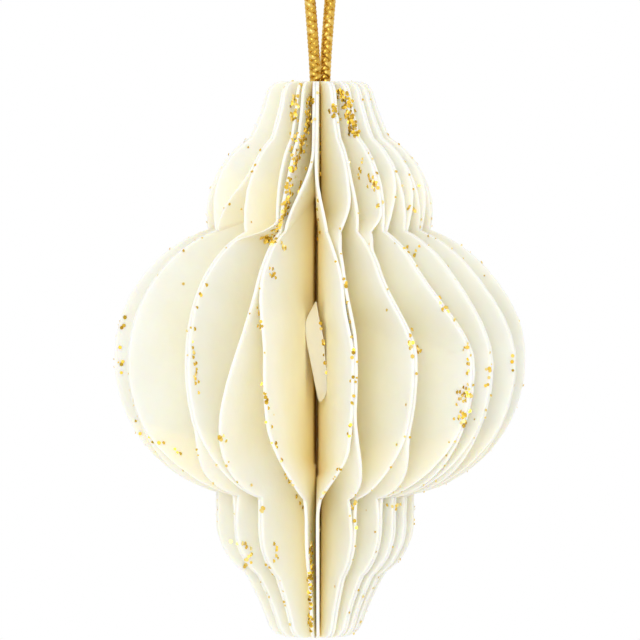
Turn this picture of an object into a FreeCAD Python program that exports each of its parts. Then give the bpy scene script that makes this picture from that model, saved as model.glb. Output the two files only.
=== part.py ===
import FreeCAD, Part
import math
import os

from FreeCAD import Vector

# Hanging paper ornament: thirty-six half-outline leaves of thick handmade paper stand round a
# spine. Neighbouring leaves are glued in turn at neck and foot, and at the wide belly, so that
# they open like a honeycomb. A doubled cord comes out of the top and closes to a loop.
#
# Lengths are millimetres and angles are degrees. Angles go round from the front (-Y), through
# the right side (+X). The origin is inside the top of the hanging loop, with +Z up.

# Paper and glue
PAPER = 0.5
GLUE_GAP = 0.06

# Outline of a leaf: three round lobes between a neck and a foot. Each lobe is a circle, with its
# centre this far from the axis, and its height above the lobe or the foot's end below it.
FOOT_LOBE_RISE = 21.0
FOOT_LOBE_CENTRE_RADIUS = 6.8
FOOT_LOBE_RADIUS = 11.2
BELLY_RISE = 29.0
BELLY_CENTRE_RADIUS = 12.3
BELLY_RADIUS = 24.7
NECK_LOBE_RISE = 26.0
NECK_LOBE_CENTRE_RADIUS = 3.9
NECK_LOBE_RADIUS = 16.5
NECK_TOP_RISE = 24.0
NECK_ROOT_RADIUS = 12.8
NECK_TOP_RADIUS = 8.9
FOOT_ROOT_RADIUS = 13.0
FOOT_END_RADIUS = 7.6
END_HOLLOW = 0.25
CORNER_LENGTH = 2.2
CHORD = 2.9
CORNER_STEPS = 3
HOLLOW_STEPS = 3

# Spine: a paper strip closed to a tube, with the leaves' square-cut inner edges round it
SPINE_WALL = 0.3
SPINE_CLEARANCE = 0.03
SPINE_SETBACK = 1.5
SLOT_SLACK = 1.035
FIRST_SLOT_ANGLE = -16.0

# Where the glued pairs stand, from the front round to the right, the back and the left. Pair k
# of the neck and foot joins leaves 2k and 2k + 1, and pair k of the belly 2k + 1 and 2k + 2.
NECK_ANGLES = [-3, 17.5, 33, 47, 60, 77, 97, 117, 138, 160, 182, 202, 223, 245, 265, 285, 315, 339]
BELLY_ANGLES = [9.4, 26.6, 46.6, 55, 70, 88, 107, 128, 149, 171, 192, 213, 234, 255, 272, 293, 321, 344.4]
FOOT_ANGLES = [-5, 20, 38, 50, 63, 80, 98, 117, 138, 160, 182, 202, 223, 245, 264, 282, 303, 325]

# Heights above the belly's middle at which a leaf leaves its neck pair, joins its belly pair,
# leaves it and joins its foot pair, and the same for the front leaves that bend elsewhere
USUAL_BENDS = (36.0, 21.0, -10.0, -28.0)
FRONT_BENDS = {
    35: (41.0, 19.0, 12.0, -28.0),
    0: (38.0, 26.0, -21.0, -29.0),
    1: (36.0, 12.0, -17.0, -27.5),
    2: (33.0, 17.0, -3.0, -30.0),
}

# Lens-shaped scrap in the front opening, glued by one edge to the left front leaf: height above
# the belly's middle, and distance from that leaf's face, of its tips and of its edges' middles
SCRAP_PAPER = 0.35
SCRAP_DEPTH = 13.0
SCRAP_LEAN_ANGLE = 27.0
SCRAP_CLEARANCE = 0.05
SCRAP_TOP = (10.4, 2.9)
SCRAP_FREE_EDGE = (-0.5, 4.8)
SCRAP_END = (-7.8, 3.8)
SCRAP_GLUED_EDGE = (1.5, 0.0)

# Cord: doubled, with both ends glued inside the spine
CORD_DIAMETER = 2.3
CORD_ARC_SHARE = 0.45
CORD_POINTS = [
    (-0.55, -1.05, -83.0),
    (-0.5, -1.05, -65.5),
    (-1.7, -0.7, -48.0),
    (-3.3, -0.35, -31.0),
    (-6.3, -0.1, -15.5),
    (-8.4, 0.0, -7.0),
    (-5.8, 0.0, -0.75),
    (0.1, 0.0, 1.65),
    (6.0, 0.0, -0.7),
    (8.6, 0.0, -6.9),
    (6.6, 0.1, -15.4),
    (3.4, 0.4, -31.0),
    (1.7, 0.75, -48.0),
    (0.55, 1.05, -65.5),
    (0.6, 1.05, -83.0),
]

# Cord loop's inside top above the neck's end
LOOP_RISE = 62.0

BELLY_HEIGHT = FOOT_LOBE_RISE + BELLY_RISE
NECK_LOBE_HEIGHT = BELLY_HEIGHT + NECK_LOBE_RISE
BODY_HEIGHT = NECK_LOBE_HEIGHT + NECK_TOP_RISE
LEAVES = 2 * len(NECK_ANGLES)
SLOT_STEP = 360.0 / LEAVES
PITCH = PAPER + GLUE_GAP
RING_RADIUS = PITCH / 2 / math.sin(math.radians(SLOT_STEP / 2)) * SLOT_SLACK
UP = Vector(0, 0, 1)
BODY_PLACE = Vector(0, 0, -BODY_HEIGHT - LOOP_RISE)


def outward(angle):
    return Vector(math.sin(math.radians(angle)), -math.cos(math.radians(angle)), 0)


def sideways(angle):
    return Vector(math.cos(math.radians(angle)), math.sin(math.radians(angle)), 0)


def on_lobe(lobe, radius, side):
    """Height at which a lobe's circle has this radius from the axis, above or below its centre."""
    centre_radius, centre_height, lobe_radius = lobe
    return centre_height + side * math.sqrt(lobe_radius**2 - (radius - centre_radius) ** 2)


NECK_LOBE = (NECK_LOBE_CENTRE_RADIUS, NECK_LOBE_HEIGHT, NECK_LOBE_RADIUS)
BELLY = (BELLY_CENTRE_RADIUS, BELLY_HEIGHT, BELLY_RADIUS)
FOOT_LOBE = (FOOT_LOBE_CENTRE_RADIUS, FOOT_LOBE_RISE, FOOT_LOBE_RADIUS)


def neck_waist():
    """Radius and height of the notch where the neck lobe's circle meets the belly's."""
    across = BELLY_CENTRE_RADIUS - NECK_LOBE_CENTRE_RADIUS
    down = -NECK_LOBE_RISE
    apart = math.hypot(across, down)
    along = (NECK_LOBE_RADIUS**2 - BELLY_RADIUS**2 + apart**2) / (2 * apart)
    aside = math.sqrt(NECK_LOBE_RADIUS**2 - along**2)
    radius = NECK_LOBE_CENTRE_RADIUS + (along * across - aside * down) / apart
    height = NECK_LOBE_HEIGHT + (along * down + aside * across) / apart
    return radius, height


def lobe_points(lobe, start, end):
    """Points down a lobe's circle, from one of its points to another, about a chord apart."""
    centre_radius, centre_height, lobe_radius = lobe
    first = math.atan2(start[1] - centre_height, start[0] - centre_radius)
    last = math.atan2(end[1] - centre_height, end[0] - centre_radius)
    steps = math.ceil(lobe_radius * (first - last) / CHORD)
    turns = [first + (last - first) * step / steps for step in range(steps + 1)]
    return [
        (centre_radius + lobe_radius * math.cos(turn), centre_height + lobe_radius * math.sin(turn))
        for turn in turns
    ]


def bent_points(start, middle, end, steps):
    """Points along a curve that leaves one point towards the middle one and bends to the last."""
    points = []
    for step in range(steps + 1):
        share = step / steps
        weights = ((1 - share) ** 2, 2 * share * (1 - share), share**2)
        points.append(
            tuple(sum(w * p[i] for w, p in zip(weights, (start, middle, end))) for i in range(2))
        )
    return points


def end_points(corner, root, inward):
    """Points of a neck or foot: flat end, rounded corner, then a slightly hollow slope to its root."""
    length = math.dist(corner, root)
    slope = ((root[0] - corner[0]) / length, (root[1] - corner[1]) / length)
    flat = (corner[0] - CORNER_LENGTH, corner[1])
    turned = (corner[0] + slope[0] * CORNER_LENGTH, corner[1] + slope[1] * CORNER_LENGTH)
    hollow = ((turned[0] + root[0]) / 2 - 2 * END_HOLLOW, (turned[1] + root[1]) / 2 + inward * END_HOLLOW)
    rounded = bent_points(flat, corner, turned, CORNER_STEPS)
    return rounded + bent_points(turned, hollow, root, HOLLOW_STEPS)[1:]


def outline():
    """Radius and height of the rim's points, from the top of the neck down to the foot."""
    neck_root = (NECK_ROOT_RADIUS, on_lobe(NECK_LOBE, NECK_ROOT_RADIUS, 1))
    foot_root = (FOOT_ROOT_RADIUS, on_lobe(FOOT_LOBE, FOOT_ROOT_RADIUS, -1))
    foot_waist_radius = FOOT_LOBE_CENTRE_RADIUS + FOOT_LOBE_RADIUS
    foot_waist = (foot_waist_radius, on_lobe(BELLY, foot_waist_radius, -1))
    foot_lobe_start = (foot_waist_radius, FOOT_LOBE_RISE)
    neck = end_points((NECK_TOP_RADIUS, BODY_HEIGHT), neck_root, -1)
    foot = end_points((FOOT_END_RADIUS, 0.0), foot_root, 1)
    return [
        *neck,
        *lobe_points(NECK_LOBE, neck_root, neck_waist())[1:],
        *lobe_points(BELLY, neck_waist(), foot_waist)[1:],
        *lobe_points(FOOT_LOBE, foot_lobe_start, foot_root),
        *foot[-2::-1],
    ]


NECK_REACH = NECK_LOBE_CENTRE_RADIUS + NECK_LOBE_RADIUS
BELLY_REACH = BELLY_CENTRE_RADIUS + BELLY_RADIUS
FOOT_REACH = FOOT_LOBE_CENTRE_RADIUS + FOOT_LOBE_RADIUS


def slot(leaf):
    """Middle of a leaf's inner edge on the spine's ring."""
    return outward(FIRST_SLOT_ANGLE + leaf * SLOT_STEP) * RING_RADIUS


def heading(leaf, pair_angle, reach, side):
    """Direction from a leaf's slot to where its rim lies against its partner's at this reach."""
    target = outward(pair_angle) * reach + sideways(pair_angle) * (side * PITCH / 2)
    run = target - slot(leaf)
    return pair_angle + math.degrees(
        math.atan2(run.dot(sideways(pair_angle)), run.dot(outward(pair_angle)))
    )


def headings(leaf):
    """Directions of a leaf's neck, belly and foot, as angles that don't jump at a full turn."""
    pair = leaf // 2
    side = -1 if leaf % 2 == 0 else 1
    belly_pair = (leaf - 1) // 2
    belly_angle = BELLY_ANGLES[belly_pair] - (360 if belly_pair < 0 else 0)
    return (
        heading(leaf, NECK_ANGLES[pair], NECK_REACH, side),
        heading(leaf, belly_angle, BELLY_REACH, -side),
        heading(leaf, FOOT_ANGLES[pair], FOOT_REACH, side),
    )


def eased(share):
    share = min(1.0, max(0.0, share))
    return share * share * (3 - 2 * share)


def panels(leaf):
    """The rim's points in five runs: neck, bend, belly, bend, foot, each with its direction."""
    neck, belly, foot = headings(leaf)
    bends = FRONT_BENDS.get(leaf, USUAL_BENDS)
    neck_end, belly_start, belly_end, foot_start = (BELLY_HEIGHT + bend for bend in bends)
    runs = [[], [], [], [], []]
    for radius, height in outline():
        upper = eased((neck_end - height) / (neck_end - belly_start))
        lower = eased((belly_end - height) / (belly_end - foot_start))
        if lower == 0:
            run = 0 if upper == 0 else 1 if upper < 1 else 2
            runs[run].append((radius, height, neck + upper * (belly - neck)))
        else:
            run = 3 if lower < 1 else 4
            runs[run].append((radius, height, belly + lower * (foot - belly)))
    return runs


def rim_point(root, radius, height, direction):
    """Where the straight line from a root in this direction reaches the rim's radius."""
    along = outward(direction)
    ahead = root.dot(along)
    length = -ahead + math.sqrt(ahead**2 - root.dot(root) + radius**2)
    return root + along * length + UP * height


def flat_face(points):
    return Part.Face(Part.makePolygon([*points, points[0]]))


def leaf_solid(leaf):
    """A sheet whose flat neck, belly and foot all start at its slot, joined by two fanned bends."""
    runs = panels(leaf)
    middle = sum(headings(leaf)) / len(headings(leaf))
    neck_bend = (runs[0][-1][1] + runs[2][0][1]) / 2
    foot_bend = (runs[2][-1][1] + runs[4][0][1]) / 2
    root_heights = [BODY_HEIGHT, neck_bend, foot_bend, 0.0]
    faces = []
    rims = []
    roots = []
    for side in (-1, 1):
        root = slot(leaf) + sideways(middle) * (side * PAPER / 2)
        top, upper, lower, end = (root + UP * height for height in root_heights)
        neck, neck_fan, belly, foot_fan, foot = (
            [rim_point(root, *point) for point in run] for run in runs
        )
        faces.append(flat_face([top, *neck, upper]))
        faces.append(flat_face([upper, *belly, lower]))
        faces.append(flat_face([lower, *foot, end]))
        for apex, fan in (
            (upper, [neck[-1], *neck_fan, belly[0]]),
            (lower, [belly[-1], *foot_fan, foot[0]]),
        ):
            faces.extend(flat_face([apex, a, b]) for a, b in zip(fan, fan[1:]))
        rims.append(neck + neck_fan + belly + foot_fan + foot)
        roots.append([top, upper, lower, end])
    left, right = rims
    for a, b, c, d in zip(left, left[1:], right, right[1:]):
        faces.append(flat_face([a, c, d]))
        faces.append(flat_face([a, d, b]))
    faces.append(flat_face(roots[0] + roots[1][::-1]))
    faces.append(flat_face([roots[0][0], roots[1][0], right[0], left[0]]))
    faces.append(flat_face([roots[0][-1], roots[1][-1], right[-1], left[-1]]))
    return closed_solid(faces)


def closed_solid(faces):
    shell = Part.Shell(faces)
    shell.sewShape()
    solid = Part.makeSolid(shell)
    if solid.Volume < 0:
        solid.reverse()
    return solid


def spine_radius():
    """Outside of the spine: just clear of the leaf corner that lies nearest to the axis."""
    corners = [
        slot(leaf) + sideways(sum(headings(leaf)) / 3) * (side * PAPER / 2)
        for leaf in range(LEAVES)
        for side in (-1, 1)
    ]
    return min(corner.Length for corner in corners) - SPINE_CLEARANCE


def spine_solid():
    length = BODY_HEIGHT - 2 * SPINE_SETBACK
    start = Vector(0, 0, SPINE_SETBACK)
    outside = Part.makeCylinder(spine_radius(), length, start)
    return outside.cut(Part.makeCylinder(spine_radius() - SPINE_WALL, length, start))


def scrap_seat():
    """Point of the left front leaf's inner face at the scrap's depth, with the scrap's clearance."""
    along = outward(headings(0)[1])
    face = slot(0) + sideways(headings(0)[1]) * (PAPER / 2)
    return face + along * ((SCRAP_DEPTH + face.y) / -along.y) + Vector(SCRAP_CLEARANCE, 0, 0)


def scrap_solid():
    """Lens-shaped scrap glued by one edge to the left front leaf, leaning across the fold."""
    seat = scrap_seat() + UP * BELLY_HEIGHT
    across = sideways(-SCRAP_LEAN_ANGLE)
    top, free, end, glued = (
        seat + UP * height + across * width
        for height, width in (SCRAP_TOP, SCRAP_FREE_EDGE, SCRAP_END, SCRAP_GLUED_EDGE)
    )
    rim = Part.Wire([Part.Arc(top, free, end).toShape(), Part.Arc(end, glued, top).toShape()])
    return Part.Face(rim).extrude(outward(-SCRAP_LEAN_ANGLE) * -SCRAP_PAPER)


def cord_solid():
    """Round cord along straight runs joined by tangent arcs."""
    points = [Vector(*point) for point in CORD_POINTS]
    edges = []
    start = points[0]
    for before, corner, after in zip(points, points[1:], points[2:]):
        to_before = (before - corner).normalize()
        to_after = (after - corner).normalize()
        reach = CORD_ARC_SHARE * min((before - corner).Length, (after - corner).Length)
        half_turn = (math.pi - to_before.getAngle(to_after)) / 2
        radius = reach / math.tan(half_turn)
        inward = (to_before + to_after).normalize()
        centre = corner + inward * (radius / math.cos(half_turn))
        arc_start = corner + to_before * reach
        arc_end = corner + to_after * reach
        edges.append(Part.LineSegment(start, arc_start).toShape())
        edges.append(Part.Arc(arc_start, centre - inward * radius, arc_end).toShape())
        print(f"cord bend radius {radius:.1f}")
        start = arc_end
    edges.append(Part.LineSegment(start, points[-1]).toShape())
    path = Part.Wire(edges)
    circle = Part.makeCircle(CORD_DIAMETER / 2, points[0], points[1] - points[0])
    cord = path.makePipe(Part.Face(Part.Wire(circle)))
    section = math.pi * CORD_DIAMETER**2 / 4
    print(f"cord length {path.Length:.1f}, volume {cord.Volume / (section * path.Length):.4f} of its run")
    return cord


def export(shape, name):
    shape.exportStep(f"parts/{name}.step")


def main():
    os.makedirs("parts", exist_ok=True)
    for leaf in range(LEAVES):
        shape = leaf_solid(leaf)
        shape.translate(BODY_PLACE)
        export(shape, f"leaf_{leaf + 1:02d}")
    for shape, name in ((spine_solid(), "spine_strip"), (scrap_solid(), "inner_tab")):
        shape.translate(BODY_PLACE)
        export(shape, name)
    export(cord_solid(), "hanging_cord")


main()
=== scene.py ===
import math
import random

import bpy
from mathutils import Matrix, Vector, noise
from mathutils.bvhtree import BVHTree


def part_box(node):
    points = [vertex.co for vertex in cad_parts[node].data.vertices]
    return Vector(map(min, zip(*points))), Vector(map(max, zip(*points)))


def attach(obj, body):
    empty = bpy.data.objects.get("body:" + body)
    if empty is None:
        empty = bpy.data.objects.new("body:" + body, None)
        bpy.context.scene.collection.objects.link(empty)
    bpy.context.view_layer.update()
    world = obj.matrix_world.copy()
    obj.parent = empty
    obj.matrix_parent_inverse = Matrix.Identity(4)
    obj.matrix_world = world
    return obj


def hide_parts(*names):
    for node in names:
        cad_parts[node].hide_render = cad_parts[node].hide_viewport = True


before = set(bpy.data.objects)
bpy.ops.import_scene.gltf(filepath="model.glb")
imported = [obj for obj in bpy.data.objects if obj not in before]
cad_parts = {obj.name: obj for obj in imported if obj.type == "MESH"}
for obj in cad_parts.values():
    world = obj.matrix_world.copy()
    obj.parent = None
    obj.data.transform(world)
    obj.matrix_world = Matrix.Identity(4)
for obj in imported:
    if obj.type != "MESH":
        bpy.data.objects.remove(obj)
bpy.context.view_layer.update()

# Lengths are millimetres and angles are degrees until a mesh is made, and the frame is metres.
# Angles go round from the front (-Y), through the right side (+X). Heights are measured up from
# the foot of the paper body.
MM = 0.001

# Camera: level with the body's top, a little under a metre away, aimed at the body's middle
CAMERA_DISTANCE = 900.0
CAMERA_HEIGHT = -62.0
CAMERA_AIM_HEIGHT = -105.0
CAMERA_LENS = 281.0
CAMERA_SENSOR = 36.0

# Paper and glue. The sheets drawn here are a little thicker than the paper, which closes the
# gap that stands for the glue.
PAPER = 0.5
SHEET = 0.545
GLUE_GAP = 0.06

# Outline of a leaf: three round lobes between a neck and a foot
FOOT_LOBE_HEIGHT = 21.0
FOOT_LOBE_CENTRE_RADIUS = 6.8
FOOT_LOBE_RADIUS = 11.2
BELLY_HEIGHT = 50.0
BELLY_CENTRE_RADIUS = 12.3
BELLY_RADIUS = 24.7
NECK_LOBE_HEIGHT = 76.0
NECK_LOBE_CENTRE_RADIUS = 3.9
NECK_LOBE_RADIUS = 16.5
BODY_HEIGHT = 100.0
NECK_ROOT_RADIUS = 12.8
NECK_TOP_RADIUS = 8.9
FOOT_ROOT_RADIUS = 13.0
FOOT_END_RADIUS = 7.6
END_HOLLOW = 0.25
CORNER_LENGTH = 2.2
OUTLINE_STEP = 0.7
CORNER_STEPS = 4
HOLLOW_STEPS = 14

# Where the glued pairs stand, from the front round to the right, the back and the left. Pair k
# of the neck and foot joins leaves 2k and 2k + 1, and pair k of the belly 2k + 1 and 2k + 2.
NECK_ANGLES = [-3, 16, 33, 47, 60, 77, 97, 117, 138, 160, 182, 202, 223, 245, 265, 285, 319, 339]
SHOULDER_ANGLES = [
    7.5, 20, 34.3, 48, 61, 76, 109, 129, 149, 171, 192, 213, 234, 255, 272, 293, 320, 340.5,
]
BELLY_ANGLES = [
    9.4, 26.6, 46.6, 55, 70, 88, 107, 128, 149, 171, 192, 213, 234, 255, 272, 293, 321, 344.4,
]
FOOT_ANGLES = [-5, 20, 38, 50, 63, 80, 98, 117, 138, 160, 182, 202, 223, 245, 264, 282, 306, 325]

# Directions of the necks and feet whose glue has let go, seen from the leaf's slot
LOOSE_NECKS = {34: -19.2, 35: -15.0}
LOOSE_FEET = {0: -6.0, 1: -0.4}

# Leaves that part from their belly partner before that pair turns from its shoulder to its belly
PARTING_EARLY = [35]

# Heights above the belly's middle between which a leaf bends: from its neck to its shoulder,
# from there to its belly, and on to its foot, and the same for leaves that bend elsewhere
USUAL_BENDS = (36.0, 21.5, 18.0, 0.0, -10.0, -28.0)
FRONT_BENDS = {
    34: (25.5, 21.5, 18.0, 0.0, -10.0, -28.0),
    35: (36.0, 22.5, 18.0, 17.0, 14.5, -25.0),
    0: (38.0, 20.5, 18.0, 2.0, -9.0, -29.0),
    1: (36.0, 14.0, 12.0, 2.0, -14.0, -28.0),
    2: (30.0, 20.0, 16.0, 4.0, -6.0, -33.0),
    3: (36.0, 25.0, 17.0, 2.0, -10.0, -28.0),
    4: (27.0, 20.0, 17.0, 2.0, -10.0, -28.0),
}

# How far the foot as a whole sways to the left
FOOT_SWAY = 0.9

# Ring of slots round the spine
SLOT_SLACK = 1.035
FIRST_SLOT_ANGLE = -16.0

LEAVES = 2 * len(NECK_ANGLES)
SLOT_STEP = 360.0 / LEAVES
PITCH = PAPER + GLUE_GAP
RING_RADIUS = PITCH / 2 / math.sin(math.radians(SLOT_STEP / 2)) * SLOT_SLACK
NECK_REACH = NECK_LOBE_CENTRE_RADIUS + NECK_LOBE_RADIUS
BELLY_REACH = BELLY_CENTRE_RADIUS + BELLY_RADIUS
FOOT_REACH = FOOT_LOBE_CENTRE_RADIUS + FOOT_LOBE_RADIUS
NECK_LOBE = (NECK_LOBE_CENTRE_RADIUS, NECK_LOBE_HEIGHT, NECK_LOBE_RADIUS)
BELLY = (BELLY_CENTRE_RADIUS, BELLY_HEIGHT, BELLY_RADIUS)
UP = Vector((0, 0, 1))
FOOT_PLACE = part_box("leaf_01")[0].z / MM
BODY_PLACE = Vector((0, 0, FOOT_PLACE))

# Leaf mesh: columns from the slot to the rim, and how the rim's cut edge is rounded and frayed
COLUMNS = 14
COLUMN_CROWDING = 1.25
EDGE_ROUND = 0.16
FRAY = 0.1
FRAY_WAVE = 1.6
RIPPLE = 0.32
RIPPLE_WAVE = 17.0
RIPPLE_REACH = 9.0
FRAY_SEED = 7.3
RIPPLE_SEED = 3.1
RIPPLE_LAYER = 5.5

# Cord: doubled, with both ends glued inside the spine
CORD_POINTS = [
    (-0.55, -1.05, -83.0),
    (-0.5, -1.05, -65.5),
    (-1.7, -0.7, -48.0),
    (-3.3, -0.35, -31.0),
    (-6.3, -0.1, -15.5),
    (-8.4, 0.0, -7.0),
    (-5.8, 0.0, -0.75),
    (0.1, 0.0, 1.65),
    (6.0, 0.0, -0.7),
    (8.6, 0.0, -6.9),
    (6.6, 0.1, -15.4),
    (3.4, 0.4, -31.0),
    (1.7, 0.75, -48.0),
    (0.55, 1.05, -65.5),
    (0.6, 1.05, -83.0),
]
BRAID_LEAD = 3.1
BRAID_RADIUS = 0.56
BRAID_SWELL = 0.16
YARN_WIDTH = 1.15
YARN_DEPTH = 0.86
YARN_SIDES = 10
YARN_STEP = 0.13
BRAID_TURN = 45.0
YARN_SHADE_WAVE = 0.05

# Light: a plain white surround and a small lamp in front, in metres and watts
SURROUND_STRENGTH = 0.96
SURROUND_COLOUR = (1.0, 0.99, 0.97, 1)
KEY_PLACE = (-0.1, -1.0, 0.15)
KEY_AIM = (0, 0, -0.11)
KEY_SIZE = 0.4
KEY_POWER = 2.4

# Floor below the hanging part, in metres
FLOOR_RADIUS = 0.8
FLOOR_HEIGHT = -0.3
FLOOR_CORNERS = 96

# Picture: its width and height in pixels, the camera's focal length in pixels, and the row where
# the body's top lies
PICTURE = 640
FOCAL_LENGTH = CAMERA_LENS / CAMERA_SENSOR * PICTURE
TOP_IN_PHOTO = 81.5

# Scrap in the front opening: rows of the picture with the scrap's left and right edge, how far in
# front of the axis its left edge lies, how far its right edge leans out, and its hollow between
SCRAP_ROWS = [
    (302, 315.4, 316.6), (309, 311.5, 317.6), (316, 307.8, 318.6), (323, 305.2, 320.2),
    (331, 305.3, 322.0), (338, 306.0, 323.4), (346, 307.2, 324.4), (355, 309.0, 325.0),
    (364, 310.8, 325.8), (373, 312.6, 326.7), (382, 314.4, 327.0), (391, 316.2, 327.0),
    (398, 317.6, 324.5), (403, 319.4, 320.6),
]
SCRAP_PAPER = 0.3
SCRAP_BACK = 10.6
SCRAP_LEAN = 2.6
SCRAP_HOLLOW = 0.25
SCRAP_COLUMNS = 10
# Where the scrap sits on the paper's colour ramp, which sets how much painted fold shade it gets
SCRAP_OUTWARDNESS = 0.75

# Glitter: hexagonal flakes, some where the picture shows them and turned largely to the camera,
# and some scattered over every leaf's edge and the paper beside it
GLITTER_SEED = 11
FLAKE_CORNERS = 6
FLAKE_WIDTH = 0.64
FLAKE_THICKNESS = 0.03
FLAKE_LIFT = 0.12
FLAKE_TILT = 0.35
FLAKE_FACING = 0.8
FLAKE_SPREAD = 2.2
EDGE_FLAKES = 9
FACE_FLAKES = 7
EDGE_SPREAD = 0.2
INMOST_SHARE = 0.8
PICTURE_FLAKE_SIZES = (0.85, 1.25)
SCATTERED_FLAKE_SIZES = (0.5, 0.95)
# Range of each scattered flake's gold, from darker to brighter: painted glints and painted
# reflections
SCATTERED_PAINTED_GLINTS = (0.4, 1)

# Runs of glitter that the picture shows: darkest and brightest shade, number of flakes, spread
# across the run, and the run's line in pixels of the picture. The shades are painted light: dark
# runs paint flakes in the shade of the folds or reflecting something dark, bright ones paint
# glints.
GLITTER_RUNS = [
    (
        0.0, 0.75, 130, 1.9,
        [(311, 97), (308, 112), (307, 123), (304, 132), (302, 145), (297, 158), (292, 172)],
    ),
    (0.1, 0.8, 75, 1.7, [(290, 178), (287, 200), (284, 215), (278, 228), (272, 238)]),
    (0.1, 0.9, 32, 3.4, [(264, 237), (274, 244)]),
    (0.3, 1.0, 6, 1.5, [(280, 243), (286, 250)]),
    (0.0, 0.8, 34, 2.2, [(295, 95), (294, 108), (294, 122)]),
    (0.0, 0.8, 10, 2.0, [(294, 132), (294, 150)]),
    (0.5, 1.0, 3, 1.0, [(300, 85), (299, 92)]),
    (0.0, 0.6, 110, 2.6, [(340, 90), (345, 100), (349, 118), (352, 128), (355, 137)]),
    (0.0, 0.5, 12, 2.2, [(332, 99), (333, 117)]),
    (0.2, 0.9, 6, 1.0, [(359, 178), (362, 157), (356, 205)]),
    (0.2, 0.9, 20, 2.6, [(370, 173), (376, 190)]),
    (0.2, 0.9, 6, 1.4, [(379, 200), (379, 210)]),
    (0.3, 0.9, 9, 0.7, [(305, 168), (300, 182), (297, 196)]),
    (
        0.2, 0.9, 22, 1.0,
        [(211, 270), (200, 295), (195, 320), (193, 350), (197, 385), (206, 418), (212, 435)],
    ),
    (0.2, 0.9, 8, 2.6, [(217, 434), (223, 440)]),
    (0.3, 0.9, 8, 2.2, [(270, 262), (274, 280)]),
    (0.2, 0.9, 10, 1.8, [(258, 306), (261, 329)]),
    (0.0, 0.5, 22, 0.8, [(263, 380), (268, 412), (276, 446), (286, 476), (296, 497), (303, 508)]),
    (0.0, 0.6, 20, 0.9, [(340, 262), (348, 295), (353, 340), (353, 395), (348, 440), (338, 474)]),
    (0.0, 0.7, 9, 0.6, [(318, 312), (322, 330), (325, 356), (327, 380)]),
    (0.0, 0.4, 7, 1.6, [(126, 308), (128, 312), (123, 325), (119, 334), (123, 392)]),
    (0.1, 0.6, 8, 2.4, [(144, 435), (149, 440), (176, 448), (179, 463)]),
    (0.3, 0.9, 10, 1.6, [(411, 326), (410, 343), (414, 357)]),
    (0.3, 0.9, 5, 1.6, [(418, 343), (421, 358)]),
    (0.3, 0.9, 7, 1.8, [(465, 342), (467, 360), (468, 376)]),
    (0.2, 0.9, 22, 3.2, [(465, 386), (464, 404)]),
    (0.2, 0.9, 17, 3.6, [(458, 412), (464, 426)]),
    (0.2, 0.9, 7, 1.6, [(486, 358), (488, 370), (486, 400)]),
    (0.0, 0.6, 3, 1.2, [(512, 353), (513, 374)]),
    (0.3, 0.9, 8, 2.4, [(440, 290), (446, 311)]),
    (0.2, 0.9, 7, 3.0, [(401, 239), (409, 257), (428, 241)]),
    (0.2, 0.9, 4, 2.0, [(396, 198), (418, 212)]),
    (0.0, 0.6, 14, 0.8, [(321, 110), (320, 170), (318, 240)]),
    (0.3, 1.0, 16, 2.2, [(231, 543), (245, 544), (252, 554), (246, 566)]),
    (0.3, 0.9, 9, 2.4, [(270, 542), (277, 549), (268, 575)]),
    (0.2, 0.9, 4, 1.0, [(262, 507), (263, 512)]),
    (0.2, 0.9, 6, 2.0, [(353, 500), (352, 530)]),
    (0.2, 0.9, 6, 3.0, [(385, 505), (398, 505)]),
    (0.0, 0.55, 60, 1.3, [(310.5, 545), (310.5, 590), (310.5, 634)]),
    (0.8, 1.0, 3, 0.8, [(310, 542), (310, 545)]),
]


def outward(angle):
    return Vector((math.sin(math.radians(angle)), -math.cos(math.radians(angle)), 0))


def sideways(angle):
    return Vector((math.cos(math.radians(angle)), math.sin(math.radians(angle)), 0))


def on_lobe(lobe, radius, side):
    centre_radius, centre_height, lobe_radius = lobe
    return centre_height + side * math.sqrt(lobe_radius**2 - (radius - centre_radius) ** 2)


def neck_waist():
    """Radius and height of the notch where the neck lobe's circle meets the belly's."""
    across = BELLY_CENTRE_RADIUS - NECK_LOBE_CENTRE_RADIUS
    down = BELLY_HEIGHT - NECK_LOBE_HEIGHT
    apart = math.hypot(across, down)
    along = (NECK_LOBE_RADIUS**2 - BELLY_RADIUS**2 + apart**2) / (2 * apart)
    aside = math.sqrt(NECK_LOBE_RADIUS**2 - along**2)
    radius = NECK_LOBE_CENTRE_RADIUS + (along * across - aside * down) / apart
    height = NECK_LOBE_HEIGHT + (along * down + aside * across) / apart
    return radius, height


def lobe_points(lobe, start, end):
    centre_radius, centre_height, lobe_radius = lobe
    first = math.atan2(start[1] - centre_height, start[0] - centre_radius)
    last = math.atan2(end[1] - centre_height, end[0] - centre_radius)
    steps = math.ceil(lobe_radius * (first - last) / OUTLINE_STEP)
    turns = [first + (last - first) * step / steps for step in range(steps + 1)]
    return [
        (centre_radius + lobe_radius * math.cos(turn), centre_height + lobe_radius * math.sin(turn))
        for turn in turns
    ]


def bent_points(start, middle, end, steps):
    points = []
    for step in range(steps + 1):
        share = step / steps
        weights = ((1 - share) ** 2, 2 * share * (1 - share), share**2)
        points.append(
            tuple(sum(w * p[i] for w, p in zip(weights, (start, middle, end))) for i in range(2))
        )
    return points


def end_points(corner, root, inward):
    length = math.dist(corner, root)
    slope = ((root[0] - corner[0]) / length, (root[1] - corner[1]) / length)
    flat = (corner[0] - CORNER_LENGTH, corner[1])
    turned = (corner[0] + slope[0] * CORNER_LENGTH, corner[1] + slope[1] * CORNER_LENGTH)
    hollow = (
        (turned[0] + root[0]) / 2 - 2 * END_HOLLOW,
        (turned[1] + root[1]) / 2 + inward * END_HOLLOW,
    )
    rounded = bent_points(flat, corner, turned, CORNER_STEPS)
    return rounded + bent_points(turned, hollow, root, HOLLOW_STEPS)[1:]


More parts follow.
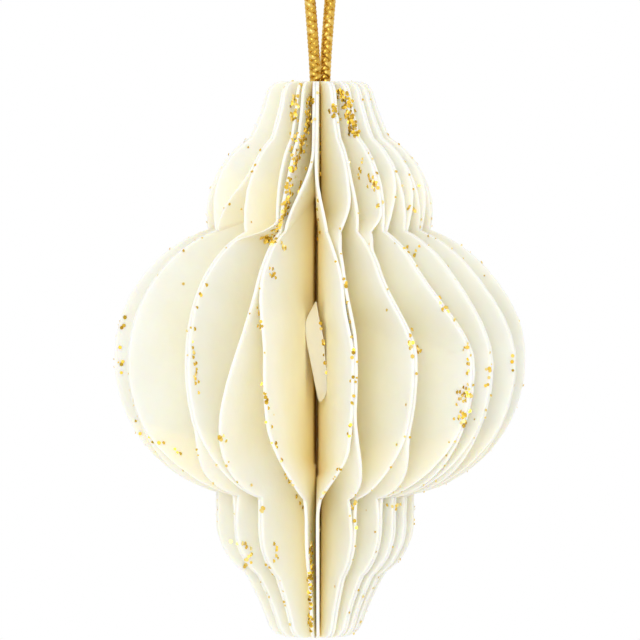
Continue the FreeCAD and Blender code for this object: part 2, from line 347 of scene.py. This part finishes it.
def outline(leaf):
    """Radius and height of a leaf's rim points, from the top of its neck down to its foot."""
    sway = -FOOT_SWAY * outward(FOOT_ANGLES[leaf // 2]).x
    foot_lobe = (FOOT_LOBE_CENTRE_RADIUS + sway, FOOT_LOBE_HEIGHT, FOOT_LOBE_RADIUS)
    reach = FOOT_REACH + sway
    neck_root = (NECK_ROOT_RADIUS, on_lobe(NECK_LOBE, NECK_ROOT_RADIUS, 1))
    foot_root = (FOOT_ROOT_RADIUS + sway, on_lobe(foot_lobe, FOOT_ROOT_RADIUS + sway, -1))
    foot_waist = (reach, on_lobe(BELLY, reach, -1))
    neck = end_points((NECK_TOP_RADIUS, BODY_HEIGHT), neck_root, -1)
    foot = end_points((FOOT_END_RADIUS + sway, 0.0), foot_root, 1)
    waist_steps = math.ceil((foot_waist[1] - FOOT_LOBE_HEIGHT) / OUTLINE_STEP)
    drop = (foot_waist[1] - FOOT_LOBE_HEIGHT) / waist_steps
    return [
        *neck,
        *lobe_points(NECK_LOBE, neck_root, neck_waist())[1:],
        *lobe_points(BELLY, neck_waist(), foot_waist)[1:],
        *[(reach, foot_waist[1] - step * drop) for step in range(1, waist_steps)],
        *lobe_points(foot_lobe, (reach, FOOT_LOBE_HEIGHT), foot_root),
        *foot[-2::-1],
    ]


def slot(leaf):
    """Middle of a leaf's inner edge on the spine's ring."""
    return outward(FIRST_SLOT_ANGLE + leaf * SLOT_STEP) * RING_RADIUS


def heading(leaf, pair_angle, reach, side):
    """Direction from a leaf's slot to where its rim lies against its partner's at this reach."""
    target = outward(pair_angle) * reach + sideways(pair_angle) * (side * PITCH / 2)
    run = target - slot(leaf)
    return pair_angle + math.degrees(
        math.atan2(run.dot(sideways(pair_angle)), run.dot(outward(pair_angle)))
    )


def headings(leaf):
    """Directions of a leaf's neck, shoulder, belly and foot, which don't jump at a full turn."""
    pair = leaf // 2
    side = -1 if leaf % 2 == 0 else 1
    belly_pair = (leaf - 1) // 2
    turn = 360 if belly_pair < 0 else 0
    own_turn = 360 if leaf in LOOSE_NECKS else 0
    neck = heading(leaf, NECK_ANGLES[pair], NECK_REACH, side)
    shoulder = heading(leaf, SHOULDER_ANGLES[belly_pair] - turn, BELLY_REACH, -side)
    belly = heading(leaf, BELLY_ANGLES[belly_pair] - turn, BELLY_REACH, -side)
    foot = heading(leaf, FOOT_ANGLES[pair], FOOT_REACH, side)
    return (
        LOOSE_NECKS.get(leaf, neck - own_turn) + own_turn,
        shoulder,
        shoulder if leaf in PARTING_EARLY else belly,
        LOOSE_FEET.get(leaf, foot),
    )


def eased(share):
    share = min(1.0, max(0.0, share))
    return share * share * (3 - 2 * share)


def bend_heights(leaf):
    bends = FRONT_BENDS.get(leaf, USUAL_BENDS)
    return [BELLY_HEIGHT + bend for bend in bends]


def direction(leaf, height):
    """Direction of a leaf's ruling whose rim end is at this height."""
    turns = headings(leaf)
    bends = bend_heights(leaf)
    angle = turns[0]
    for start, end, before, after in zip(bends[::2], bends[1::2], turns, turns[1:]):
        angle += eased((start - height) / (start - end)) * (after - before)
    return angle


def root_height(leaf, height):
    """Where the ruling with this rim height starts on the slot: fans share one point of it."""
    bends = bend_heights(leaf)
    fans = [(start + end) / 2 for start, end in zip(bends[::2], bends[1::2])]
    roots = [BODY_HEIGHT, *fans, 0.0]
    tops = [BODY_HEIGHT, *bends[1::2]]
    bottoms = [*bends[::2], 0.0]
    for top, bottom, above, below in zip(tops, bottoms, roots, roots[1:]):
        if height >= bottom:
            share = min(1.0, max(0.0, (top - height) / (top - bottom)))
            return above + (below - above) * share
    return 0.0


def rim_point(root, radius, height, angle):
    """Where the straight line from a root in this direction reaches the rim's radius."""
    along = outward(angle)
    ahead = root.dot(along)
    length = -ahead + math.sqrt(ahead**2 - root.dot(root) + radius**2)
    return root + along * length + UP * height


def freedom(leaf, height):
    """How free of its partners a leaf's rim is at this height: 0 where it is glued, 1 between."""
    neck_end, shoulder_start, _, _, belly_end, foot_start = bend_heights(leaf)
    upper = (neck_end - height) / (neck_end - shoulder_start)
    lower = (belly_end - height) / (belly_end - foot_start)
    return max(math.sin(math.pi * min(1.0, max(0.0, share))) for share in (upper, lower))


def leaf_row(leaf, radius, height):
    """Root and frayed rim of one ruling, in the middle of the sheet."""
    angle = direction(leaf, height)
    root = slot(leaf)
    seed = Vector((leaf * FRAY_SEED, height / FRAY_WAVE, 0))
    frayed = radius + FRAY * noise.noise(seed)
    rim = rim_point(root, frayed, height, angle)
    return root + UP * root_height(leaf, height), rim


def ripple(leaf, height, inset):
    """Sideways wander of the free rim, which dies out towards the slot."""
    wave = noise.noise(Vector((leaf * RIPPLE_SEED, height / RIPPLE_WAVE, RIPPLE_LAYER)))
    return RIPPLE * freedom(leaf, height) * wave * math.exp(-inset / RIPPLE_REACH)


def new_piece(name, vertices, faces, materials, smooth=True):
    mesh = bpy.data.meshes.new(name)
    mesh.from_pydata([Vector(v) * MM for v in vertices], [], faces)
    for material in materials:
        mesh.materials.append(material)
    if smooth:
        mesh.shade_smooth()
    piece = bpy.data.objects.new(name, mesh)
    bpy.context.scene.collection.objects.link(piece)
    return piece


def add_attribute(piece, name, values):
    attribute = piece.data.attributes.new(name, "FLOAT", "POINT")
    attribute.data.foreach_set("value", values)


def grid_faces(rows, columns, start=0, flip=False):
    faces = []
    for row in range(rows - 1):
        for column in range(columns - 1):
            a = start + row * columns + column
            face = (a, a + 1, a + 1 + columns, a + columns)
            faces.append(face[::-1] if flip else face)
    return faces


def make_leaf(leaf, material):
    """One sheet of paper, from its slot on the spine to its frayed rim."""
    side_way = sideways(sum(headings(leaf)) / len(headings(leaf)))
    rows = []
    depths = []
    # Each row goes from the slot out along one face, round the cut edge and back along the other
    shares = [1 - (1 - column / COLUMNS) ** COLUMN_CROWDING for column in range(COLUMNS + 1)]
    for radius, height in outline(leaf):
        root, rim = leaf_row(leaf, radius, height)
        run = rim - root
        length = run.length
        inner = 1 - EDGE_ROUND / length
        row = []
        depth = []
        for side in (-1, 1):
            face = []
            for share in shares:
                point = root + run * (share * inner)
                inset = length * (1 - share)
                sway = ripple(leaf, height, inset) + side * SHEET / 2
                face.append((point + side_way * sway, share))
            if side == 1:
                face.reverse()
            row.extend(p for p, _ in face)
            depth.extend(s for _, s in face)
            if side == -1:
                sway = ripple(leaf, height, 0)
                for across in (-0.5, 0.5):
                    row.append(rim + side_way * (sway + across * (SHEET - EDGE_ROUND)))
                    depth.append(1.0)
        rows.append(row)
        depths.append(depth)
    width = len(rows[0])
    vertices = [point + BODY_PLACE for row in rows for point in row]
    faces = grid_faces(len(rows), width)
    last = (len(rows) - 1) * width
    for row_start, flip in ((0, False), (last, True)):
        for column in range(width // 2 - 1):
            a = row_start + column
            b = row_start + width - 1 - column
            face = (a, b, b - 1, a + 1)
            faces.append(face[::-1] if flip else face)
    for row in range(len(rows) - 1):
        a = row * width
        faces.append((a, a + width, a + 2 * width - 1, a + width - 1))
    piece = new_piece(f"leaf_{leaf + 1:02d}_sheet", vertices, faces, [material])
    # Outwardness runs from 0 at the slot to 1 at the rim; the paper's colour ramp paints fold shade
    # towards the slot with it
    add_attribute(piece, "outwardness", [value for depth in depths for value in depth])
    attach(piece, "root")
    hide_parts(f"leaf_{leaf + 1:02d}")
    return piece


def material_with(name):
    material = bpy.data.materials.new(name)
    material.use_nodes = True
    nodes = material.node_tree.nodes
    return material, nodes, material.node_tree.links, nodes["Principled BSDF"]


def colour_ramp(nodes, stops):
    ramp = nodes.new("ShaderNodeValToRGB")
    elements = ramp.color_ramp.elements
    while len(elements) < len(stops):
        elements.new(0.5)
    for element, (place, colour) in zip(elements, stops):
        element.position = place
        element.color = (*colour, 1.0)
    return ramp


def noise_node(nodes, links, place, scale, detail, roughness=0.5):
    node = nodes.new("ShaderNodeTexNoise")
    node.inputs["Scale"].default_value = scale
    node.inputs["Detail"].default_value = detail
    node.inputs["Roughness"].default_value = roughness
    links.new(place.outputs[0], node.inputs["Vector"])
    return node


def paper_material(name, stops):
    """Thick soft paper: deeper and warmer towards the spine as painted shade and painted bounce
    light of the folds, with a faint cloudiness and a fine tooth.
    """
    material, nodes, links, shader = material_with(name)
    coordinates = nodes.new("ShaderNodeTexCoord")
    place = nodes.new("ShaderNodeMapping")
    links.new(coordinates.outputs["Object"], place.inputs["Vector"])
    depth = nodes.new("ShaderNodeAttribute")
    depth.attribute_name = "outwardness"
    # Colour along the outwardness: painted shade and painted bounce light deep in the folds, the
    # paper's own cream out at the rim
    tone_with_painted_fold_shade = colour_ramp(nodes, stops)
    links.new(depth.outputs["Fac"], tone_with_painted_fold_shade.inputs["Fac"])
    cloud = noise_node(nodes, links, place, 90.0, 3.0)
    shade = colour_ramp(nodes, [(0.3, (0.955, 0.945, 0.92)), (0.7, (1.0, 1.0, 1.0))])
    links.new(cloud.outputs["Fac"], shade.inputs["Fac"])
    tint = nodes.new("ShaderNodeVectorMath")
    tint.operation = "MULTIPLY"
    links.new(tone_with_painted_fold_shade.outputs["Color"], tint.inputs[0])
    links.new(shade.outputs["Color"], tint.inputs[1])
    links.new(tint.outputs[0], shader.inputs["Base Color"])
    shader.inputs["Roughness"].default_value = 0.9
    shader.inputs["Specular IOR Level"].default_value = 0.2
    shader.inputs["Subsurface Weight"].default_value = 0.6
    shader.inputs["Subsurface Radius"].default_value = (1.0, 0.75, 0.4)
    shader.inputs["Subsurface Scale"].default_value = 0.0012
    tooth = noise_node(nodes, links, place, 2600.0, 4.0, 0.7)
    unevenness = noise_node(nodes, links, place, 420.0, 3.0, 0.5)
    bump = nodes.new("ShaderNodeBump")
    bump.inputs["Strength"].default_value = 0.15
    bump.inputs["Distance"].default_value = 0.0001
    links.new(tooth.outputs["Fac"], bump.inputs["Height"])
    wide_bump = nodes.new("ShaderNodeBump")
    wide_bump.inputs["Strength"].default_value = 0.2
    wide_bump.inputs["Distance"].default_value = 0.0003
    links.new(unevenness.outputs["Fac"], wide_bump.inputs["Height"])
    links.new(bump.outputs["Normal"], wide_bump.inputs["Normal"])
    links.new(wide_bump.outputs["Normal"], shader.inputs["Normal"])
    return material


def gold_material(name, stops, roughness, bump_scale, bump_strength):
    """Gold metal whose colour differs from piece to piece by the attribute named shade; on the
    glitter flakes this is painted glints and painted reflections.
    """
    material, nodes, links, shader = material_with(name)
    shade = nodes.new("ShaderNodeAttribute")
    shade.attribute_name = "shade"
    ramp = colour_ramp(nodes, stops)
    links.new(shade.outputs["Fac"], ramp.inputs["Fac"])
    links.new(ramp.outputs["Color"], shader.inputs["Base Color"])
    shader.inputs["Metallic"].default_value = 1.0
    shader.inputs["Roughness"].default_value = roughness
    coordinates = nodes.new("ShaderNodeTexCoord")
    place = nodes.new("ShaderNodeMapping")
    links.new(coordinates.outputs["Object"], place.inputs["Vector"])
    grain = noise_node(nodes, links, place, bump_scale, 2.0)
    bump = nodes.new("ShaderNodeBump")
    bump.inputs["Strength"].default_value = bump_strength
    bump.inputs["Distance"].default_value = 0.0001
    links.new(grain.outputs["Fac"], bump.inputs["Height"])
    links.new(bump.outputs["Normal"], shader.inputs["Normal"])
    return material


def smooth_route():
    """Points along the smooth curve whose control points are the cord's route."""
    curve = bpy.data.curves.new("cord_route", "CURVE")
    curve.dimensions = "3D"
    curve.resolution_u = 40
    spline = curve.splines.new("NURBS")
    spline.points.add(len(CORD_POINTS) - 1)
    for point, place in zip(spline.points, CORD_POINTS):
        point.co = (*(value * MM for value in place), 1.0)
    spline.order_u = 3
    spline.use_endpoint_u = True
    route = bpy.data.objects.new("cord_route", curve)
    bpy.context.scene.collection.objects.link(route)
    bpy.context.view_layer.update()
    mesh = bpy.data.meshes.new_from_object(route)
    points = [vertex.co.copy() / MM for vertex in mesh.vertices]
    bpy.data.objects.remove(route)
    return points


def even_points(points, step):
    """The same line with its points this far apart."""
    result = [points[0].copy()]
    carried = 0.0
    for a, b in zip(points, points[1:]):
        length = (b - a).length
        place = step - carried
        while place <= length:
            result.append(a.lerp(b, place / length))
            place += step
        carried = length - (place - step)
    result.append(points[-1].copy())
    return result


def frames_along(points):
    """Two crosswise directions at each point, carried along the line without twist."""
    frames = []
    across = None
    for index, point in enumerate(points):
        before = points[max(0, index - 1)]
        after = points[min(len(points) - 1, index + 1)]
        tangent = (after - before).normalized()
        if across is None:
            across = Vector((0, -1, 0))
        across = (across - tangent * across.dot(tangent)).normalized()
        frames.append((tangent, across, tangent.cross(across)))
    return frames


def make_cord(material):
    """Doubled cord braided from four gold yarns."""
    line = smooth_route()
    points = even_points(line, YARN_STEP)
    frames = frames_along(points)
    vertices = []
    faces = []
    shades = []
    for way in (1, -1):
        for half in (0, 1):
            start = len(vertices)
            centres = []
            for index, point in enumerate(points):
                _, across, aside = frames[index]
                phase = 2 * math.pi * index * YARN_STEP / BRAID_LEAD
                turn = way * phase + half * math.pi
                radius = BRAID_RADIUS + way * BRAID_SWELL * math.cos(2 * turn)
                around = turn + math.radians(BRAID_TURN)
                out = across * math.cos(around) + aside * math.sin(around)
                centres.append((point + out * radius, out))
            for index, (centre, out) in enumerate(centres):
                before = centres[max(0, index - 1)][0]
                after = centres[min(len(centres) - 1, index + 1)][0]
                tangent = (after - before).normalized()
                flat = out.cross(tangent).normalized()
                thick = tangent.cross(flat).normalized()
                for corner in range(YARN_SIDES):
                    turn = 2 * math.pi * corner / YARN_SIDES
                    offset = flat * (YARN_WIDTH / 2 * math.cos(turn)) + thick * (
                        YARN_DEPTH / 2 * math.sin(turn)
                    )
                    vertices.append(centre + offset)
                    seed = Vector((index * YARN_SHADE_WAVE, turn, start))
                    shades.append(0.5 + 0.5 * noise.noise(seed))
            for row in range(len(centres) - 1):
                for corner in range(YARN_SIDES):
                    a = start + row * YARN_SIDES + corner
                    b = start + row * YARN_SIDES + (corner + 1) % YARN_SIDES
                    faces.append((a, b, b + YARN_SIDES, a + YARN_SIDES))
            faces.append(tuple(start + corner for corner in reversed(range(YARN_SIDES))))
            last = start + (len(centres) - 1) * YARN_SIDES
            faces.append(tuple(last + corner for corner in range(YARN_SIDES)))
    piece = new_piece("cord_braid", vertices, faces, [material])
    add_attribute(piece, "shade", shades)
    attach(piece, "root")
    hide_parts("hanging_cord")
    return piece


def place_in_photo(x, y, depth):
    """Point in millimetres seen at this place of the picture, this far in front of the axis."""
    distance = CAMERA_DISTANCE - depth
    return Vector((
        (x - PICTURE / 2) * distance / FOCAL_LENGTH,
        -depth,
        FOOT_PLACE + BODY_HEIGHT - (y - TOP_IN_PHOTO) * distance / FOCAL_LENGTH,
    ))


def make_scrap(material):
    """Loose scrap that curves out of the left front leaf's face and ends in a crisp edge."""
    vertices = []
    for face in (0, 1):
        for y, left, right in SCRAP_ROWS:
            for column in range(SCRAP_COLUMNS + 1):
                share = column / SCRAP_COLUMNS
                depth = SCRAP_BACK + SCRAP_LEAN * share
                hollow = SCRAP_HOLLOW * math.sin(math.pi * share)
                point = place_in_photo(left + (right - left) * share, y, depth - hollow)
                vertices.append(point + Vector((0, face * SCRAP_PAPER, 0)))
    width = SCRAP_COLUMNS + 1
    rows = len(SCRAP_ROWS)
    back = rows * width
    faces = grid_faces(rows, width) + grid_faces(rows, width, back, True)
    for row in range(rows - 1):
        for column, flip in ((0, True), (width - 1, False)):
            a = row * width + column
            face = (a, back + a, back + a + width, a + width)
            faces.append(face[::-1] if flip else face)
    for row, flip in ((0, False), (rows - 1, True)):
        for column in range(width - 1):
            a = row * width + column
            face = (a, back + a, back + a + 1, a + 1)
            faces.append(face[::-1] if flip else face)
    piece = new_piece("inner_tab_sheet", vertices, faces, [material])
    add_attribute(piece, "outwardness", [SCRAP_OUTWARDNESS] * len(vertices))
    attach(piece, "root")
    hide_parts("inner_tab")
    return piece


def flake(centre, normal, width, rng):
    """Corners and faces of one thin hexagonal flake, in metres, roughly along a surface."""
    tilt = Vector((rng.uniform(-1, 1), rng.uniform(-1, 1), rng.uniform(-1, 1))) * FLAKE_TILT
    up = (normal + tilt).normalized()
    across = up.orthogonal().normalized()
    aside = up.cross(across)
    start = rng.uniform(0, math.pi)
    centre = centre + normal * FLAKE_LIFT * MM
    corners = []
    for side in (0, 1):
        for corner in range(FLAKE_CORNERS):
            turn = start + corner * 2 * math.pi / FLAKE_CORNERS
            offset = across * math.cos(turn) + aside * math.sin(turn)
            corners.append(centre + offset * (width / 2 * MM) + up * (side * FLAKE_THICKNESS * MM))
    sides = FLAKE_CORNERS
    faces = [tuple(reversed(range(sides))), tuple(range(sides, 2 * sides))]
    faces.extend((c, (c + 1) % sides, (c + 1) % sides + sides, c + sides) for c in range(sides))
    return corners, faces


def photo_flakes(tree, rng):
    """Flakes where the picture shows them, on whatever paper lies there, each coloured within its
    run's range as painted shade and painted glints.
    """
    camera = Vector((0, -CAMERA_DISTANCE, CAMERA_HEIGHT)) * MM
    ahead = (Vector((0, 0, CAMERA_AIM_HEIGHT)) * MM - camera).normalized()
    right = Vector((1, 0, 0))
    upward = right.cross(ahead)
    for painted_dark_end, painted_bright_end, count, spread, line in GLITTER_RUNS:
        runs = list(zip(line, line[1:])) or [(line[0], line[0])]
        lengths = [math.dist(a, b) + 0.01 for a, b in runs]
        for _ in range(count):
            a, b = rng.choices(runs, lengths)[0]
            share = rng.random()
            x = a[0] + (b[0] - a[0]) * share + rng.gauss(0, spread)
            y = a[1] + (b[1] - a[1]) * share + rng.gauss(0, spread / 2)
            aim = ahead + (right * (x - PICTURE / 2) + upward * (PICTURE / 2 - y)) / FOCAL_LENGTH
            place, normal, _, _ = tree.ray_cast(camera, aim.normalized())
            if place is not None:
                towards = -aim.normalized()
                facing = (normal * (1 - FLAKE_FACING) + towards * FLAKE_FACING).normalized()
                width = FLAKE_WIDTH * rng.uniform(*PICTURE_FLAKE_SIZES)
                yield place, facing, width, rng.uniform(painted_dark_end, painted_bright_end)


def rim_flakes(rng):
    """Flakes scattered along every leaf's cut edge and over the paper next to it, each a random
    gold from dark to bright as painted glints and painted reflections.
    """
    for leaf in range(LEAVES):
        rim_line = outline(leaf)
        for number in range(EDGE_FLAKES + FACE_FLAKES):
            radius, height = rim_line[rng.randrange(len(rim_line))]
            root, rim = leaf_row(leaf, radius, height)
            run = rim - root
            aside = sideways(direction(leaf, height))
            if number < EDGE_FLAKES:
                place = rim + aside * rng.uniform(-EDGE_SPREAD, EDGE_SPREAD)
                normal = run.normalized()
            else:
                inset = min(rng.expovariate(1 / FLAKE_SPREAD), run.length * INMOST_SHARE)
                normal = aside * rng.choice((-1, 1))
                place = root + run * (1 - inset / run.length) + aside * ripple(leaf, height, inset)
                place = place + normal * (SHEET / 2)
            width = FLAKE_WIDTH * rng.uniform(*SCATTERED_FLAKE_SIZES)
            yield (place + BODY_PLACE) * MM, normal, width, rng.uniform(*SCATTERED_PAINTED_GLINTS)


def make_glitter(sheets, material):
    vertices = []
    polygons = []
    for sheet in sheets:
        start = len(vertices)
        vertices.extend(vertex.co for vertex in sheet.data.vertices)
        polygons.extend([start + v for v in polygon.vertices] for polygon in sheet.data.polygons)
    tree = BVHTree.FromPolygons(vertices, polygons)
    rng = random.Random(GLITTER_SEED)
    corners = []
    faces = []
    shades = []
    for source in (photo_flakes(tree, rng), rim_flakes(rng)):
        for place, normal, width, shade in source:
            points, sides = flake(place, normal, width, rng)
            start = len(corners)
            corners.extend(point / MM for point in points)
            faces.extend(tuple(start + corner for corner in side) for side in sides)
            shades.extend([shade] * len(points))
    piece = new_piece("glitter_flakes", corners, faces, [material], smooth=False)
    add_attribute(piece, "shade", shades)
    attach(piece, "root")
    return piece


def make_camera():
    data = bpy.data.cameras.new("camera")
    data.lens = CAMERA_LENS
    data.sensor_width = CAMERA_SENSOR
    data.clip_start = 0.01
    data.clip_end = 100
    camera = bpy.data.objects.new("camera", data)
    bpy.context.scene.collection.objects.link(camera)
    camera.location = (0, -CAMERA_DISTANCE * MM, CAMERA_HEIGHT * MM)
    aim = Vector((0, 0, CAMERA_AIM_HEIGHT * MM))
    camera.rotation_mode = "QUATERNION"
    camera.rotation_quaternion = (aim - camera.location).to_track_quat("-Z", "Y")
    bpy.context.scene.camera = camera


def make_world():
    """White where it is seen, and a plain soft light where it lights the object."""
    world = bpy.data.worlds.new("world")
    bpy.context.scene.world = world
    world.use_nodes = True
    nodes = world.node_tree.nodes
    links = world.node_tree.links
    nodes.clear()
    seen = nodes.new("ShaderNodeBackground")
    seen.inputs["Color"].default_value = (1, 1, 1, 1)
    lit = nodes.new("ShaderNodeBackground")
    lit.inputs["Color"].default_value = SURROUND_COLOUR
    lit.inputs["Strength"].default_value = SURROUND_STRENGTH
    path = nodes.new("ShaderNodeLightPath")
    either = nodes.new("ShaderNodeMath")
    either.operation = "MAXIMUM"
    links.new(path.outputs["Is Camera Ray"], either.inputs[0])
    links.new(path.outputs["Is Transmission Ray"], either.inputs[1])
    mix = nodes.new("ShaderNodeMixShader")
    links.new(either.outputs[0], mix.inputs["Fac"])
    links.new(lit.outputs[0], mix.inputs[1])
    links.new(seen.outputs[0], mix.inputs[2])
    output = nodes.new("ShaderNodeOutputWorld")
    links.new(mix.outputs[0], output.inputs["Surface"])


def make_lamp(name, place, aim, size, power):
    data = bpy.data.lights.new(name, "AREA")
    data.shape = "DISK"
    data.size = size
    data.energy = power
    lamp = bpy.data.objects.new(name, data)
    bpy.context.scene.collection.objects.link(lamp)
    lamp.location = place
    lamp.rotation_mode = "QUATERNION"
    lamp.rotation_quaternion = (Vector(aim) - Vector(place)).to_track_quat("-Z", "Y")


def make_floor():
    """A pale floor below the hanging part, which takes its shadow."""
    bpy.ops.mesh.primitive_circle_add(
        vertices=FLOOR_CORNERS, radius=FLOOR_RADIUS, fill_type="NGON", location=(0, 0, FLOOR_HEIGHT)
    )
    floor = bpy.context.object
    floor.name = "floor"
    material, nodes, links, shader = material_with("floor_white")
    shader.inputs["Base Color"].default_value = (0.93, 0.93, 0.92, 1)
    shader.inputs["Roughness"].default_value = 0.8
    floor.data.materials.append(material)


def main():
    scene = bpy.context.scene
    scene.view_settings.view_transform = "Standard"
    scene.cycles.diffuse_bounces = 12
    scene.cycles.max_bounces = 16
    make_camera()
    gold = [(0.0, (0.3, 0.15, 0.015)), (0.5, (0.72, 0.44, 0.07)), (1.0, (0.95, 0.75, 0.28))]
    make_cord(gold_material("gold_yarn", gold, 0.3, 3000.0, 0.4))
    # Paper colour from the slot (0) to the rim (1): the deeper gold towards the slot is painted
    # shade and painted warm bounce light of the folds, the pale cream near the rim the paper's own
    # colour
    cream_with_painted_fold_shade = [
        (0.0, (0.97, 0.8, 0.4)),
        (0.15, (0.97, 0.88, 0.6)),
        (0.4, (0.97, 0.925, 0.75)),
        (0.75, (0.96, 0.935, 0.81)),
        (1.0, (0.96, 0.945, 0.87)),
    ]
    paper = paper_material("cream_paper_painted_fold_shade", cream_with_painted_fold_shade)
    sheets = [make_leaf(leaf, paper) for leaf in range(LEAVES)]
    sheets.append(make_scrap(paper))
    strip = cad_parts["spine_strip"]
    strip.data.materials.clear()
    # The spine strip deep in the core is coloured warm gold all over as painted shade and painted
    # bounce light of the crevice
    painted_core_shade = (0.85, 0.62, 0.26)
    strip.data.materials.append(paper_material("spine_paper_painted_core_shade", [(0.0, painted_core_shade), (1.0, painted_core_shade)]))
    # Glitter gold from dark to bright: the flakes' differing brightness is painted glints, painted
    # reflections and, at the dark end, painted shade
    painted_glint_golds = [(0.0, (0.42, 0.25, 0.02)), (0.5, (0.84, 0.57, 0.08)), (1.0, (1.0, 0.84, 0.36))]
    make_glitter(sheets, gold_material("gold_glitter", painted_glint_golds, 0.35, 2000.0, 0.0))
    make_world()
    make_lamp("key", KEY_PLACE, KEY_AIM, KEY_SIZE, KEY_POWER)
    make_floor()


main()
